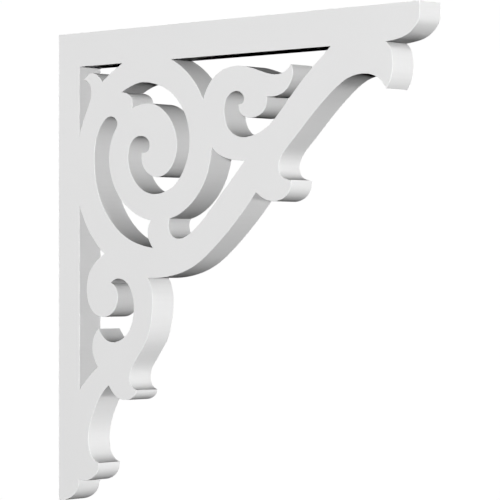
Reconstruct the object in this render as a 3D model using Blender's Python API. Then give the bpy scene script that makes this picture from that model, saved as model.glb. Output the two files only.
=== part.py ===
"""Pierced scroll bracket, sawn from one board of cellular PVC.

The bracket stands against a wall and under a soffit.
X runs out from the wall, Z runs up and Y runs through the board.
The origin is the middle of the face that lies on the wall.
"""

import math

import bmesh
import bpy
import numpy as np

# Driving dimensions, in metres
PROJECTION = 0.4064     # out from the wall: 16 inches
HEIGHT = 0.4064         # down the wall: 16 inches
THICKNESS = 0.0254      # the board: 1 inch
WALL_RAIL = 0.0262      # width of the straight bar against the wall
TOP_RAIL = 0.0293       # depth of the straight bar under the soffit

# The drawing of the scrollwork is in millimetres, out from the wall and down from the soffit.
# Its rails and its reach are set out to the real sizes above, and its curves go with them.
DRAWN_WALL_RAIL = 26.2
DRAWN_TOP_RAIL = 29.3

# A curve is split until no flat is further from it than this, in drawn millimetres
FLAT_ERROR = 0.05
STEPS_PER_SPAN = 24
MERGE_DISTANCE = 0.00002

PVC_COLOUR = (0.85, 0.85, 0.84, 1.0)
PVC_ROUGHNESS = 0.45


def outer_runs():
    """The outside edge, clockwise from the corner at the wall and the soffit.

    Each run goes smoothly from one sharp corner to the next.
    """
    right = 406.4
    bottom = 406.4
    top = DRAWN_TOP_RAIL
    soffit_edge = [(0, 0), (right, 0)]
    end_face = [(right, 0), (right, 10)]
    end_ovolo = [
        (right, 10), (right - 1.5, 15.8), (right - 4.1, 19), (right - 12.4, 25.1),
        (right - 25.4, 28.4), (right - 34, top),
    ]
    end_lobe = [(right - 34, top), (377.6, 34.8), (379.4, 44), (378.9, 54), (373.2, 65.4)]
    upper_sweep = [
        (373.2, 65.4), (365.5, 57.1), (334, 55.4), (322, 61.9), (272, 105.1), (267.8, 109),
        (260.8, 121), (262.5, 128.7), (269.8, 132.9), (274.3, 133.4),
    ]
    middle_bead = [(274.3, 133.4), (271.2, 143.6), (260.8, 149.6), (251, 149.8), (235.7, 142.5)]
    main_sweep = [(235.7, 142.5), (185, 189.6), (170, 199.7), (120, 212.1), (110.5, 212)]
    hanging_scroll = [
        (110.5, 212), (114.5, 219.2), (115.9, 241.5), (109.9, 263), (96.5, 281.2),
        (88.8, 296), (90.5, 303), (97.3, 307.3),
    ]
    lower_bead = [(97.3, 307.3), (96.4, 309.8), (73.3, 314), (66.8, 308.8), (63, 304.2)]
    foot_sweep = [
        (63, 304.2), (51.8, 314.8), (46, 324), (38.1, 357.2), (41.4, 365.6), (50.6, 371.4),
    ]
    foot_bead = [(50.6, 371.4), (49.4, 378), (35, 387.2), (25.6, bottom - 19.5)]
    foot_end = [(25.6, bottom - 19.5), (22.8, bottom - 9.8), (7, bottom - 0.6), (0, bottom)]
    wall_edge = [(0, bottom), (0, 0)]
    return [
        soffit_edge, end_face, end_ovolo, end_lobe, upper_sweep, middle_bead,
        main_sweep, hanging_scroll, lower_bead, foot_sweep, foot_bead, foot_end,
        wall_edge,
    ]


def corner_window_runs():
    """The window in the corner between the two rails, with the pointed finger in it."""
    rail = DRAWN_WALL_RAIL
    top = DRAWN_TOP_RAIL
    under_top_rail = [(rail, top), (79.6, top)]
    ring_back = [(79.6, top), (69.5, 34.6), (55, 43.8)]
    finger_top = [(55, 43.8), (50.7, 39.3), (41.5, 35.6), (35.2, 38.4), (31.6, 40.8)]
    finger_under = [(31.6, 40.8), (39.6, 46.2), (41.1, 53.6), (35.6, 67.6), (rail, 89.5)]
    along_wall_rail = [(rail, 89.5), (rail, top)]
    return [under_top_rail, ring_back, finger_top, finger_under, along_wall_rail]


def leaf_window_runs():
    """The long window under the top rail: it runs round the leaf and into the small scroll."""
    top = DRAWN_TOP_RAIL
    under_top_rail = [(138.6, top), (316, top)]
    around_small_scroll = [
        (316, top), (300, 42.3), (285, 55.3), (262, 78.3), (250, 88.6), (231, 96.5),
        (212.5, 95.4), (204.1, 88.9), (200.3, 78.2), (204, 63.5), (216.9, 60.2),
        (222.2, 65.4), (221.8, 68.3), (216.4, 70.3),
    ]
    scroll_eye = [(216.4, 70.3), (217.3, 76.3), (233, 81.8), (245.7, 75.2), (247.5, 65.7)]
    leaf_belly = [(247.5, 65.7), (273.2, 56), (276, 48), (274, 41.1)]
    leaf_back = [(274, 41.1), (267.6, 46.2), (224, 40), (190.5, 45.3), (176, 64.8)]
    ring_back = [(176, 64.8), (166.2, 50), (138.6, top)]
    return [under_top_rail, around_small_scroll, scroll_eye, leaf_belly, leaf_back, ring_back]


def volute_window_runs():
    """The window that winds round the eye of the large scroll."""
    round_the_eye = [
        (79, 53.9), (88, 50.2), (104, 46.8), (116, 48.2), (128, 51.5), (153.4, 73),
        (159, 108), (150, 127), (145.5, 132), (107.3, 139.1), (87.3, 114.5), (90.2, 98),
        (97.8, 92.6), (112.6, 98.3), (110.8, 104.9), (107.8, 106), (103.5, 105.9),
    ]
    eye_edge = [
        (103.5, 105.9), (105.5, 118.3), (116, 126.3), (129.8, 125.8), (145.4, 104),
        (119.5, 66.3), (108, 64.8), (92, 68.1),
    ]
    blunt_end = [(92, 68.1), (91.2, 60.2), (79, 53.9)]
    return [round_the_eye, eye_edge, blunt_end]


def crescent_window_runs():
    """The crescent between the large scroll and the band that comes off the wall rail."""
    both_flanks = [
        (114.3, 163.5), (94, 156.9), (69.1, 132.8), (70.3, 87.1), (73.6, 80.1),
        (72.4, 77.3), (62, 74.7), (55.2, 79.6), (52, 83.5), (45.2, 113), (50.8, 141),
        (83.4, 177.1), (107.5, 185.3), (116.8, 186.8),
    ]
    hollow_end = [(116.8, 186.8), (112.2, 180), (110.9, 176.4), (114.3, 163.5)]
    return [both_flanks, hollow_end]


def drop_window_runs():
    """The drop-shaped window between the large scroll, the small scroll and the main sweep."""
    ring_back = [(137, 162.4), (156, 154.6), (170.7, 142), (185.9, 104)]
    under_small_scroll = [(185.9, 104), (197, 112), (215, 116), (223.3, 116.4)]
    along_sweep = [
        (223.3, 116.4), (190, 149.8), (165, 172.2), (146, 179.2), (139.3, 176.6),
        (135.6, 170.2), (137, 162.4),
    ]
    return [ring_back, under_small_scroll, along_sweep]


def wall_window_runs():
    """The tall window beside the wall rail, with the slot that hooks round the lower eye."""
    rail = DRAWN_WALL_RAIL
    band_under = [(rail, 149), (49.8, 184.8), (57.8, 191.5)]
    lower_eye = [
        (57.8, 191.5), (46.7, 198.6), (38, 209.5), (45.1, 242.8), (68.4, 241.3),
        (74.1, 228.2), (71.4, 220), (65.3, 216.3),
    ]
    slot_outside = [
        (65.3, 216.3), (77, 212.9), (84.8, 216), (90.9, 224), (92.7, 247.2), (83.6, 261.7),
        (64, 266.7), (50.5, 255.9),
    ]
    lower_body = [(50.5, 255.9), (47.8, 258.3), (42.6, 275.4), (46.2, 284.3), (49.3, 288.9)]
    band_over_foot = [(49.3, 288.9), (40.5, 295.4), (rail, 309.9)]
    along_wall_rail = [(rail, 309.9), (rail, 149)]
    return [band_under, lower_eye, slot_outside, lower_body, band_over_foot, along_wall_rail]


def spline_bends(points, spans):
    """Second derivatives of the cubic spline through the points.

    The first and last spans bend evenly, as arcs do, so a curve keeps its bend up to its corner.
    """
    count = len(points)
    weights = np.identity(count)
    weights[0, 1] = -1
    weights[-1, -2] = -1
    right_side = np.zeros((count, 2))
    for i in range(1, count - 1):
        before = spans[i - 1]
        after = spans[i]
        weights[i, i - 1] = before
        weights[i, i] = 2 * (before + after)
        weights[i, i + 1] = after
        slope_before = (points[i] - points[i - 1]) / before
        slope_after = (points[i + 1] - points[i]) / after
        right_side[i] = 6 * (slope_after - slope_before)
    return np.linalg.solve(weights, right_side)


def smooth_run(run):
    """A finely stepped smooth curve through the points of one run."""
    points = np.array(run, dtype=float)
    if len(points) == 2:
        return points
    spans = np.linalg.norm(np.diff(points, axis=0), axis=1)
    bends = spline_bends(points, spans)
    curve = [points[0]]
    for i, span in enumerate(spans):
        start = points[i] / span - bends[i] * span / 6
        end = points[i + 1] / span - bends[i + 1] * span / 6
        for step in range(1, STEPS_PER_SPAN + 1):
            gone = span * step / STEPS_PER_SPAN
            left = span - gone
            cubic = (bends[i] * left ** 3 + bends[i + 1] * gone ** 3) / (6 * span)
            curve.append(cubic + start * left + end * gone)
    return np.array(curve)


def needed_points(curve):
    """The fewest of the curve's points that keep its flats within the flat error."""
    start = curve[0]
    chord = curve[-1] - start
    offsets = curve - start
    distance = np.abs(chord[0] * offsets[:, 1] - chord[1] * offsets[:, 0]) / math.hypot(*chord)
    furthest = int(distance.argmax())
    if distance[furthest] < FLAT_ERROR:
        return [curve[0], curve[-1]]
    first = needed_points(curve[:furthest + 1])
    second = needed_points(curve[furthest:])
    return first[:-1] + second


def closed_outline(runs):
    """One closed outline from its runs, each corner once."""
    outline = []
    for run in runs:
        outline.extend(needed_points(smooth_run(run))[:-1])
    return outline


def drawn_reach():
    """How far the drawing reaches out from the wall and down from the soffit."""
    points = [point for run in outer_runs() for point in run]
    return max(out for out, down in points), max(down for out, down in points)


def set_out(distance, drawn_rail, drawn_size, rail, size):
    """A drawn distance as a real one: the rail and the field beside it each have their own scale."""
    if distance <= drawn_rail:
        return distance * rail / drawn_rail
    field_scale = (size - rail) / (drawn_size - drawn_rail)
    return rail + (distance - drawn_rail) * field_scale


def placed(point, reach):
    """A drawn point in the plane of the board, from the middle of the wall face."""
    out = set_out(point[0], DRAWN_WALL_RAIL, reach[0], WALL_RAIL, PROJECTION)
    down = set_out(point[1], DRAWN_TOP_RAIL, reach[1], TOP_RAIL, HEIGHT)
    return out, HEIGHT / 2 - down


def add_outline(curve, runs):
    """Add one closed outline to the flat curve."""
    reach = drawn_reach()
    outline = [placed(point, reach) for point in closed_outline(runs)]
    spline = curve.splines.new("POLY")
    spline.points.add(len(outline) - 1)
    for spline_point, (out, up) in zip(spline.points, outline):
        spline_point.co = (out, up, 0.0, 1.0)
    spline.use_cyclic_u = True


def sawn_board():
    """The flat curve of the outside edge and the six windows, as thick as the board."""
    curve = bpy.data.curves.new("scroll_bracket_outline", "CURVE")
    curve.dimensions = "2D"
    curve.fill_mode = "BOTH"
    curve.extrude = THICKNESS / 2
    for runs in (
        outer_runs(),
        corner_window_runs(),
        leaf_window_runs(),
        volute_window_runs(),
        crescent_window_runs(),
        drop_window_runs(),
        wall_window_runs(),
    ):
        add_outline(curve, runs)
    return curve


def upright_mesh(curve):
    """The curve as a closed mesh, turned so that the drawing's height is the real height."""
    holder = bpy.data.objects.new("scroll_bracket_outline", curve)
    mesh = bpy.data.meshes.new_from_object(holder)
    mesh.name = "scroll_bracket"
    work = bmesh.new()
    work.from_mesh(mesh)
    bmesh.ops.remove_doubles(work, verts=work.verts, dist=MERGE_DISTANCE)
    for vert in work.verts:
        out, up, through = vert.co
        vert.co = (out, -through, up)
    bmesh.ops.recalc_face_normals(work, faces=work.faces)
    work.to_mesh(mesh)
    work.free()
    bpy.data.objects.remove(holder)
    bpy.data.curves.remove(curve)
    return mesh


def pvc_material():
    """White cellular PVC board."""
    material = bpy.data.materials.new("white_pvc")
    material.use_nodes = True
    shader = material.node_tree.nodes["Principled BSDF"]
    shader.inputs["Base Color"].default_value = PVC_COLOUR
    shader.inputs["Roughness"].default_value = PVC_ROUGHNESS
    return material


def build():
    for old in list(bpy.data.objects):
        bpy.data.objects.remove(old)
    collection = bpy.data.collections.new("scroll_bracket")
    bpy.context.scene.collection.children.link(collection)
    mesh = upright_mesh(sawn_board())
    mesh.materials.append(pvc_material())
    bracket = bpy.data.objects.new("scroll_bracket", mesh)
    collection.objects.link(bracket)


build()
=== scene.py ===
# %% [markdown]
# A pierced scroll bracket in white PVC board
#
# The real bracket is one flat board of white cellular PVC. A router follows a drawing through it
# and leaves two straight rails, which go against a wall and under a soffit, with scrollwork in
# between. This lesson takes the solid board as a fixed frame, makes a finer board in its place,
# gives the sheet's faces and the sawn edges their own finish, and lights it like a studio picture.

import math
from collections import namedtuple

import bmesh
import bpy
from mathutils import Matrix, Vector


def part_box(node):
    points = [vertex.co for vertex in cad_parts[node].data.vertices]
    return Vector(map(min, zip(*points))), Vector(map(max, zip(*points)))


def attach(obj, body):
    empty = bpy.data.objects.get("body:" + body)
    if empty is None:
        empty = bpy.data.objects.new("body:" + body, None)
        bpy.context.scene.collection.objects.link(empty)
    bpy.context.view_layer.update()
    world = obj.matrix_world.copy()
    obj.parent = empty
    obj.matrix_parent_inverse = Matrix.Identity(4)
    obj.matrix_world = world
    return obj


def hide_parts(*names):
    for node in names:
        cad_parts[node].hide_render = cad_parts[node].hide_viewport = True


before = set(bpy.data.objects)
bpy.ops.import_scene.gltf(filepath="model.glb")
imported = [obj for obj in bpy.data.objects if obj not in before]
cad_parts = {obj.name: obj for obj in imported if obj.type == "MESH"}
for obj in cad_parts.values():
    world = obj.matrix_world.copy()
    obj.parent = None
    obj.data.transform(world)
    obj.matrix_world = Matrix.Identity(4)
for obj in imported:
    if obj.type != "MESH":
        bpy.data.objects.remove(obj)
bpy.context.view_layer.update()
NODE = "scroll_bracket"
low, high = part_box(NODE)
thickness = high.y - low.y
print("board", [round(side * 1000, 1) for side in high - low], "mm")

# %% [markdown]
# The camera
#
# The picture looks level at the bracket, from well to the right of its face, through a long lens.
# The upright edges stay upright in it, so the camera is not tipped: the small shift of the lens
# puts the bracket in the middle of the frame instead. The lens is given as a photographer would
# read it off a picture, as the eye's distance in pixels, and turned into millimetres.

# %% Camera
IMAGE_SIZE = 500
SENSOR_WIDTH = 36.0
EYE_DISTANCE_PIXELS = 2479.9
LEVEL_VIEW = math.radians(90)
VIEW_TURN = math.radians(43.218)
EYE = Vector((1.6058, -1.4777, -0.0027))
LENS_SHIFT = 0.0412

camera_data = bpy.data.cameras.new("studio_camera")
camera_data.sensor_width = SENSOR_WIDTH
camera_data.lens = EYE_DISTANCE_PIXELS / IMAGE_SIZE * SENSOR_WIDTH
camera_data.shift_y = LENS_SHIFT
camera = bpy.data.objects.new("studio_camera", camera_data)
camera.location = EYE
camera.rotation_euler = (LEVEL_VIEW, 0, VIEW_TURN)
bpy.context.scene.collection.objects.link(camera)
bpy.context.scene.camera = camera
print("lens", round(camera_data.lens, 1), "mm, eye", round((EYE - (low + high) / 2).length, 2), "m away")

# %% [markdown]
# The sawn edge
#
# Everything that the router cut is in the solid's edge: the outside and the six windows. The solid
# is loose triangles, so the copy is merged first. Its two flat faces are then taken off, which
# leaves seven closed ribbons as wide as the board is thick. Each ribbon's triangles come in pairs,
# and dissolving the slanting line of each pair makes clean four-sided pieces to work on.

# %% Take the ribbons from the solid
MERGE_DISTANCE = 0.00002
FLAT_FACE = 0.9


def crosses_board(edge):
    """True for an edge that runs from one face of the board to the other."""
    return abs(edge.verts[0].co.y - edge.verts[1].co.y) > thickness / 2


def goes_along(edge):
    """True for an edge whose ends are at different places of the outline."""
    step = edge.verts[0].co - edge.verts[1].co
    return math.hypot(step.x, step.z) > MERGE_DISTANCE


board = bmesh.new()
board.from_mesh(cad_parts[NODE].data)
bmesh.ops.remove_doubles(board, verts=board.verts, dist=MERGE_DISTANCE)
flat_faces = [face for face in board.faces if abs(face.normal.y) > FLAT_FACE]
bmesh.ops.delete(board, geom=flat_faces, context="FACES")
slants = [edge for edge in board.edges if crosses_board(edge) and goes_along(edge)]
bmesh.ops.dissolve_edges(board, edges=slants, use_verts=False)
board.normal_update()
print("ribbons", len(board.faces), "four-sided pieces")

# %% [markdown]
# Smooth curves between sharp corners
#
# On the real board the curves are as smooth as the router's path, and the points where two curves
# meet stay sharp. Subdividing with full smoothing puts the new points on a rounded line that
# follows the neighbouring directions. It would round the corners too, so the ribbons are parted at
# every sharp corner first and merged again afterwards. Long pieces get three cuts, short ones one
# and the shortest none, which keeps the points evenly spread.

# %% Round the curves
CORNER_TURN = math.radians(30)
LONG_STEP = 0.0022
SHORT_STEP = 0.0011
LONG_CUTS = 3
SHORT_CUTS = 1


def outline_edges(shortest, longest):
    """The edges along the two faces whose length is in the range."""
    along = [edge for edge in board.edges if not crosses_board(edge)]
    return [edge for edge in along if shortest <= edge.calc_length() < longest]


corners = [edge for edge in board.edges if len(edge.link_faces) == 2]
corners = [edge for edge in corners if edge.calc_face_angle() > CORNER_TURN]
bmesh.ops.split_edges(board, edges=corners)
board.normal_update()
long_edges = outline_edges(LONG_STEP, math.inf)
short_edges = outline_edges(SHORT_STEP, LONG_STEP)
for edges, cuts in ((long_edges, LONG_CUTS), (short_edges, SHORT_CUTS)):
    bmesh.ops.subdivide_edges(
        board, edges=edges, cuts=cuts, smooth=1.0, smooth_falloff="LINEAR", use_grid_fill=True
    )
bmesh.ops.remove_doubles(board, verts=board.verts, dist=MERGE_DISTANCE)
print("sharp corners", len(corners), "pieces now", len(board.faces))

# %% [markdown]
# The two faces of the board
#
# Each face is one flat sheet with six holes. The fill takes the seven rims of a side together, so
# it knows which are windows, and the result closes the board into one solid again.

# %% Fill the faces
for side in (-1, 1):
    rim = [edge for edge in board.edges if len(edge.link_faces) == 1]
    rim = [edge for edge in rim if edge.verts[0].co.y * side > 0]
    before = len(board.faces)
    bmesh.ops.triangle_fill(board, edges=rim, use_beauty=True, use_dissolve=False, normal=(0, side, 0))
    print("face", side, "rim edges", len(rim), "triangles", len(board.faces) - before)
bmesh.ops.recalc_face_normals(board, faces=board.faces)
board.normal_update()

# %% [markdown]
# Eased arrises
#
# A routed PVC edge is crisp but never a knife edge: a pass of fine paper breaks it by a quarter of
# a millimetre, and that thin round catches a little light along every outline. The bevel goes on
# the rims only, with three segments and a round profile. It stays small enough for the sharpest
# leaf tips, where a wider one would run over itself.

# %% Ease the rims
EASE = 0.00025
EASE_SEGMENTS = 3
ROUND_PROFILE = 0.5
KEEP_MATERIAL = -1
RIM_TURN = math.radians(60)

rims = [edge for edge in board.edges if not crosses_board(edge)]
rims = [edge for edge in rims if edge.calc_face_angle() > RIM_TURN]
bmesh.ops.bevel(
    board,
    geom=rims,
    offset=EASE,
    offset_type="OFFSET",
    segments=EASE_SEGMENTS,
    profile=ROUND_PROFILE,
    affect="EDGES",
    material=KEEP_MATERIAL,
    clamp_overlap=False,
)
board.normal_update()
print("rims eased", len(rims), "closed", all(len(edge.link_faces) == 2 for edge in board.edges))

# %% [markdown]
# One piece with two finishes
#
# The board's faces keep the skin of the sheet, and the router's cut shows the core. So the flat
# faces take the first material, and the ribbons and their eased edges the second. The faces are
# shaded flat and the rest smooth. The sharp corners are marked sharp, and so are the lines where a
# ribbon meets its eased edge, or the tiny round would bend the light over the whole width of the cut.

# %% Make the piece
SKIN_SLOT = 0
SAWN_SLOT = 1
LEVEL_FACE = 0.9999


def is_ribbon(face):
    """True for a face that reaches from one side of the board to the other."""
    return any(crosses_board(edge) for edge in face.edges)


for face in board.faces:
    level = abs(face.normal.y) > LEVEL_FACE
    face.smooth = not level
    face.material_index = SKIN_SLOT if level else SAWN_SLOT
for edge in board.edges:
    first, second = edge.link_faces
    edge.smooth = edge.calc_face_angle() < CORNER_TURN and is_ribbon(first) == is_ribbon(second)

board_mesh = bpy.data.meshes.new("sawn_scroll_board")
board.to_mesh(board_mesh)
board.free()
scroll_board = bpy.data.objects.new("sawn_scroll_board", board_mesh)
bpy.context.scene.collection.objects.link(scroll_board)
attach(scroll_board, "root")
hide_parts(NODE)
print("piece", len(board_mesh.polygons), "faces")

# %% [markdown]
# Grain of closed-cell PVC
#
# Close up, the board is not one flat colour. The skin has a very faint cloudiness and the fine
# orange peel of an extruded sheet. The routed core has marks that cross the thickness, one for
# each bite of the cutter, and the tiny pits of cut cells. All four are noise of another stretch and
# size, so one node group makes them, with the stretch, the size, the detail and the range of tone as
# inputs. It is given Object coordinates, which are metres here.

# %% Helpers for node trees
def new_group(name, inputs, outputs):
    """A shader node group with named sockets, and its input and output nodes."""
    group = bpy.data.node_groups.new(name, "ShaderNodeTree")
    for socket, kind, value in inputs:
        made = group.interface.new_socket(socket, in_out="INPUT", socket_type=kind)
        if value is not None:
            made.default_value = value
    for socket, kind in outputs:
        group.interface.new_socket(socket, in_out="OUTPUT", socket_type=kind)
    source = group.nodes.new("NodeGroupInput")
    sink = group.nodes.new("NodeGroupOutput")
    return group, source, sink


def math_node(tree, operation, first, second):
    """A math node whose two values are numbers or sockets."""
    node = tree.nodes.new("ShaderNodeMath")
    node.operation = operation
    for socket, value in zip(node.inputs, (first, second)):
        if isinstance(value, (int, float)):
            socket.default_value = value
        else:
            tree.links.new(value, socket)
    return node.outputs["Value"]


# %% The grain group
NOISE_MIDDLE = 0.5


def grain_group():
    """Noise stretched by a vector: a height from 0 to 1 and a tone round 1."""
    group, source, sink = new_group(
        "pvc_grain",
        [
            ("Vector", "NodeSocketVector", None),
            ("Stretch", "NodeSocketVector", (1.0, 1.0, 1.0)),
            ("Size", "NodeSocketFloat", 0.01),
            ("Detail", "NodeSocketFloat", 2.0),
            ("Tone Range", "NodeSocketFloat", 0.02),
        ],
        [("Height", "NodeSocketFloat"), ("Tone", "NodeSocketFloat")],
    )
    stretched = group.nodes.new("ShaderNodeVectorMath")
    stretched.operation = "MULTIPLY"
    group.links.new(source.outputs["Vector"], stretched.inputs[0])
    group.links.new(source.outputs["Stretch"], stretched.inputs[1])
    noise = group.nodes.new("ShaderNodeTexNoise")
    group.links.new(stretched.outputs["Vector"], noise.inputs["Vector"])
    group.links.new(math_node(group, "DIVIDE", 1.0, source.outputs["Size"]), noise.inputs["Scale"])
    group.links.new(source.outputs["Detail"], noise.inputs["Detail"])
    height = noise.outputs["Fac"]
    centred = math_node(group, "SUBTRACT", height, NOISE_MIDDLE)
    swing = math_node(group, "MULTIPLY", centred, source.outputs["Tone Range"])
    group.links.new(height, sink.inputs["Height"])
    group.links.new(math_node(group, "ADD", swing, 1.0), sink.inputs["Tone"])
    return group


pvc_grain = grain_group()
print("group", pvc_grain.name, [item.name for item in pvc_grain.interface.items_tree])

# %% [markdown]
# The two finishes
#
# Both finishes are the same white plastic, so they share one recipe: a base colour times the tones
# of a coarse and a fine grain, a roughness that varies a little with the coarse one, and a bump from
# each. Only the values differ. The skin is a satin sheet. The sawn core is duller, and its coarse
# grain is stretched through the board, which turns the noise into cutter marks across the ribbon.
# The sizes and the bump depths of the four grains are in metres.

# %% The grain in a material
Grain = namedtuple("Grain", "stretch size detail tone_range depth strength")


def placed_grain(tree, position, grain):
    """One use of the grain group in a material."""
    node = tree.nodes.new("ShaderNodeGroup")
    node.node_tree = pvc_grain
    tree.links.new(position, node.inputs["Vector"])
    node.inputs["Stretch"].default_value = grain.stretch
    node.inputs["Size"].default_value = grain.size
    node.inputs["Detail"].default_value = grain.detail
    node.inputs["Tone Range"].default_value = grain.tone_range
    return node


def grain_bump(tree, placed, grain, below=None):
    """The bump of a placed grain, on top of another normal if there is one."""
    node = tree.nodes.new("ShaderNodeBump")
    node.inputs["Strength"].default_value = grain.strength
    node.inputs["Distance"].default_value = grain.depth
    tree.links.new(placed.outputs["Height"], node.inputs["Height"])
    if below is not None:
        tree.links.new(below, node.inputs["Normal"])
    return node.outputs["Normal"]


# %% The finish recipe
def pvc_finish(name, colour, roughness, roughness_swing, coarse, fine):
    """A PVC material with a coarse and a fine grain."""
    material = bpy.data.materials.new(name)
    material.use_nodes = True
    tree = material.node_tree
    shader = tree.nodes["Principled BSDF"]
    position = tree.nodes.new("ShaderNodeTexCoord").outputs["Object"]
    wide = placed_grain(tree, position, coarse)
    tight = placed_grain(tree, position, fine)
    tint = tree.nodes.new("ShaderNodeVectorMath")
    tint.operation = "SCALE"
    tint.inputs[0].default_value = colour
    tone = math_node(tree, "MULTIPLY", wide.outputs["Tone"], tight.outputs["Tone"])
    tree.links.new(tone, tint.inputs["Scale"])
    tree.links.new(tint.outputs["Vector"], shader.inputs["Base Color"])
    swing = math_node(tree, "MULTIPLY", wide.outputs["Height"], roughness_swing)
    rough = math_node(tree, "ADD", swing, roughness - roughness_swing / 2)
    tree.links.new(rough, shader.inputs["Roughness"])
    broad = grain_bump(tree, wide, coarse)
    normal = grain_bump(tree, tight, fine, below=broad)
    tree.links.new(normal, shader.inputs["Normal"])
    return material


# %% Skin and core
PVC_WHITE = (0.85, 0.85, 0.85)
EVEN = (1.0, 1.0, 1.0)
THROUGH_BOARD = (1.0, 0.04, 1.0)
CLOUDS = Grain(stretch=EVEN, size=0.045, detail=2.0, tone_range=0.012, depth=0.0002, strength=0.15)
ORANGE_PEEL = Grain(stretch=EVEN, size=0.0016, detail=3.0, tone_range=0.01, depth=0.00003, strength=0.25)
CUTTER_MARKS = Grain(
    stretch=THROUGH_BOARD, size=0.0022, detail=2.0, tone_range=0.04, depth=0.00006, strength=0.5
)
CUT_CELLS = Grain(stretch=EVEN, size=0.0006, detail=3.0, tone_range=0.03, depth=0.00003, strength=0.4)

skin = pvc_finish(
    "pvc_board_skin",
    PVC_WHITE,
    roughness=0.42,
    roughness_swing=0.08,
    coarse=CLOUDS,
    fine=ORANGE_PEEL,
)
core = pvc_finish(
    "pvc_sawn_core",
    PVC_WHITE,
    roughness=0.58,
    roughness_swing=0.12,
    coarse=CUTTER_MARKS,
    fine=CUT_CELLS,
)
board_mesh.materials.append(skin)
board_mesh.materials.append(core)
print("materials", [material.name for material in board_mesh.materials])

# %% [markdown]
# The white studio
#
# The bracket is held by its wall edge, so it has nothing to stand on, and the floor lies far
# enough below it to leave room for a low light. Floor and backdrop are the same clean white, so no
# horizon shows. The floor gives no light back to the bracket, which leaves the undersides of the
# scrolls dark. The world is white where the camera sees it, and only a dim fill elsewhere.

# %% Floor
FLOOR_DROP = 4.0
FLOOR_SIZE = 60.0
FLOOR_COLOUR = (0.9, 0.9, 0.9, 1)
FLOOR_ROUGHNESS = 0.9
FLOOR_GLOW = 1.0
WHITE = (1, 1, 1, 1)

floor_shape = bmesh.new()
bmesh.ops.create_grid(floor_shape, x_segments=1, y_segments=1, size=FLOOR_SIZE / 2)
bmesh.ops.translate(floor_shape, verts=floor_shape.verts, vec=(0, 0, low.z - FLOOR_DROP))
floor_mesh = bpy.data.meshes.new("studio_floor")
floor_shape.to_mesh(floor_mesh)
floor_shape.free()
floor = bpy.data.objects.new("studio_floor", floor_mesh)
bpy.context.scene.collection.objects.link(floor)
floor.visible_diffuse = False
floor.visible_glossy = False

floor_white = bpy.data.materials.new("studio_white")
floor_white.use_nodes = True
floor_shader = floor_white.node_tree.nodes["Principled BSDF"]
floor_shader.inputs["Base Color"].default_value = FLOOR_COLOUR
floor_shader.inputs["Roughness"].default_value = FLOOR_ROUGHNESS
floor_shader.inputs["Emission Color"].default_value = WHITE
floor_shader.inputs["Emission Strength"].default_value = FLOOR_GLOW
floor_mesh.materials.append(floor_white)
print("floor", FLOOR_DROP, "m below the bracket")

# %% World
FILL = 0.006

# The two sides of the mix
ELSEWHERE = 1
AT_CAMERA = 2

world = bpy.data.worlds.new("studio_world")
bpy.context.scene.world = world
world.use_nodes = True
sky = world.node_tree
sky.nodes.clear()
seen = sky.nodes.new("ShaderNodeBackground")
seen.inputs["Color"].default_value = WHITE
fill = sky.nodes.new("ShaderNodeBackground")
fill.inputs["Color"].default_value = WHITE
fill.inputs["Strength"].default_value = FILL
path = sky.nodes.new("ShaderNodeLightPath")
mix = sky.nodes.new("ShaderNodeMixShader")
output = sky.nodes.new("ShaderNodeOutputWorld")
sky.links.new(path.outputs["Is Camera Ray"], mix.inputs["Fac"])
sky.links.new(fill.outputs["Background"], mix.inputs[ELSEWHERE])
sky.links.new(seen.outputs["Background"], mix.inputs[AT_CAMERA])
sky.links.new(mix.outputs["Shader"], output.inputs["Surface"])
print("fill", FILL)

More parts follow.
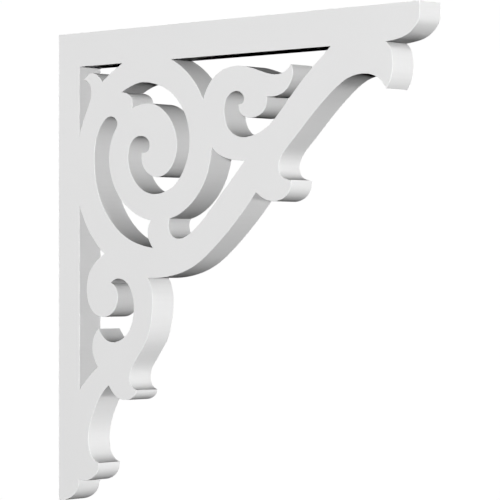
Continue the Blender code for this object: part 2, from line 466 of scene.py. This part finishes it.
# %% [markdown]
# Softboxes
#
# The face is one even tone, the cuts that look to the right are a little brighter, and cuts that
# look up or down are dark. Only a level light from beside the camera does that, so the key stands
# there. A second box at the right brightens the outer cuts, and two weak ones above and behind it
# shape their rounds. The other three light what the picture doesn't show: the wall side, the back
# and the top. The boxes hang ten metres off, which keeps the light even from one end of the bracket
# to the other.
#
# White plastic in a narrow cut-out would light itself. The picture shows little of that: its
# undersides are nearly black. So the board is hidden from the diffuse rays that carry such light.

# %% A softbox
LIGHT_DISTANCE = 10.0
BOX_SIZE = 1.2


def softbox(name, bearing, height, power):
    """A square light that looks at the bracket.

    The bearing is 0 in front of the face and 90 out from the wall, and the height is 90 overhead.
    """
    data = bpy.data.lights.new(name, "AREA")
    data.shape = "SQUARE"
    data.size = BOX_SIZE
    data.energy = power
    light = bpy.data.objects.new(name, data)
    middle = (low + high) / 2
    turn = math.radians(bearing)
    rise = math.radians(height)
    away = Vector((math.sin(turn) * math.cos(rise), -math.cos(turn) * math.cos(rise), math.sin(rise)))
    light.location = middle + away * LIGHT_DISTANCE
    light.rotation_euler = away.to_track_quat("Z", "Y").to_euler()
    light.visible_camera = False
    bpy.context.scene.collection.objects.link(light)
    print("light", name, power, "W")


# %% The seven boxes
softbox("key_softbox", bearing=39, height=0.5, power=1040)
softbox("right_softbox", bearing=90, height=-4, power=260)
softbox("upper_right_softbox", bearing=90, height=28, power=60)
softbox("overhead_softbox", bearing=0, height=90, power=415)
softbox("rim_softbox", bearing=140, height=15, power=35)
softbox("back_softbox", bearing=190, height=1, power=560)
softbox("left_softbox", bearing=-75, height=8, power=275)
scroll_board.visible_diffuse = False

# %% [markdown]
# The contrast of the picture
#
# A studio picture of a white thing on white is developed with more contrast than a plain view, or
# it would look washed out. A black point does that: the faintest light is taken as black, which
# deepens the cut-outs and the undersides most, and the white stays white. A little exposure brings
# the faces back to their even light grey.

# %% Contrast
BLACK_POINT = 0.045
PICTURE_EXPOSURE = 0.02

view = bpy.context.scene.view_settings
view.view_transform = "Standard"
view.use_curve_mapping = True
view.curve_mapping.black_level = (BLACK_POINT, BLACK_POINT, BLACK_POINT)
view.exposure = PICTURE_EXPOSURE
print("black point", BLACK_POINT, "exposure", PICTURE_EXPOSURE)
